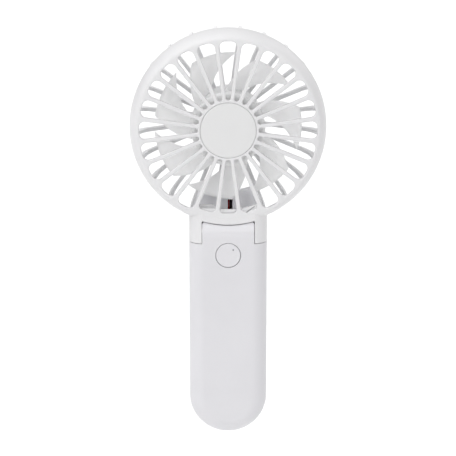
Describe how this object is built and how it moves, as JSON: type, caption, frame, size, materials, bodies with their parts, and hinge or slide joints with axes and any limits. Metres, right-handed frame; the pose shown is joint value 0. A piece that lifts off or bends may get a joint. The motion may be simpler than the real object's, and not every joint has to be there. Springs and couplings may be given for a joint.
{
  "type": "rechargeable handheld fan",
  "caption": "Rechargeable handheld fan: a round grille head with a bladed rotor on a slim round-ended handle, folding back at a pinned neck, with a push button.",
  "frame": {"origin": "centre of the grip, on the handle's middle plane, 52 mm above its lower tip", "axes": "+Z along the handle towards the fan head, -Y the way the fan blows, +Y the handle's flat back, +X to the right seen from the front"},
  "size_m": [0.1008, 0.0342, 0.2137],
  "materials": {
    "white_plastic": "satin white moulded plastic",
    "blade_plastic": "satin white moulded plastic",
    "light_pipe": "clear light pipe, unlit",
    "plunger_plastic": "moulded",
    "black_plastic": "moulded",
    "led": "clear lens",
    "circuit_board": "solder mask",
    "cell_wrap": "shrink film",
    "foam": "adhesive foam",
    "steel": "plated",
    "ribbon": "flat cable",
    "red_insulation": "wire insulation",
    "black_insulation": "wire insulation",
    "copper": "enamelled winding",
    "brass": "turned",
    "magnet": "bonded ferrite"
  },
  "bodies": {
    "handle": {"handle_front_shell": "white_plastic", "handle_rear_shell": "white_plastic", "circuit_board": "circuit_board", "tact_switch_body": "black_plastic", "indicator_led": "led", "battery_cell": "cell_wrap", "battery_pad": "foam", "nickel_strip_top": "steel", "nickel_strip_bottom": "steel", "battery_lead_red": "red_insulation", "battery_lead_black": "black_insulation", "charge_board": "circuit_board", "usb_socket": "steel", "charge_ribbon": "ribbon", "handle_screw_1": "steel", "handle_screw_2": "steel", "handle_screw_3": "steel", "handle_screw_4": "steel", "lead_red_handle": "red_insulation", "lead_black_handle": "black_insulation", "friction_washer_left": "steel", "friction_washer_right": "steel"},
    "head": {"front_grille": "white_plastic", "front_centre_cap": "white_plastic", "rear_cover": "white_plastic", "wire_channel_cover": "white_plastic", "motor_board": "circuit_board", "motor_stator": "copper", "motor_bush": "brass", "motor_screw_1": "steel", "motor_screw_2": "steel", "motor_screw_3": "steel", "hinge_pin_left": "steel", "hinge_pin_right": "steel", "lead_red_head": "red_insulation", "lead_black_head": "black_insulation"},
    "rotor": {"impeller": "blade_plastic", "rotor_can": "steel", "rotor_magnet_ring": "magnet", "motor_shaft": "steel"},
    "button": {"power_button": "white_plastic", "indicator_light_pipe": "light_pipe"},
    "plunger": {"switch_plunger": "plunger_plastic"}
  },
  "joints": [
    {"name": "head_tilt", "type": "hinge", "parent": "handle", "child": "head", "pos_m": [0, 0.0076, 0.0567], "axis": [-1, 0, 0], "range_deg": [0, 90]},
    {"name": "rotor_spin", "type": "hinge", "parent": "head", "child": "rotor", "pos_m": [0, 0, 0.1113], "axis": [0, 1, 0], "continuous": true},
    {"name": "button_press", "type": "slide", "parent": "handle", "child": "button", "axis": [0, 1, 0], "range_m": [0, 0.0008], "stiffness_N_per_m": 900},
    {"name": "plunger_press", "type": "slide", "parent": "handle", "child": "plunger", "axis": [0, 1, 0], "range_m": [0, 0.0008]}
  ],
  "couplings": [
    {"joint": "plunger_press", "follows": "button_press", "ratio": 1}
  ]
}
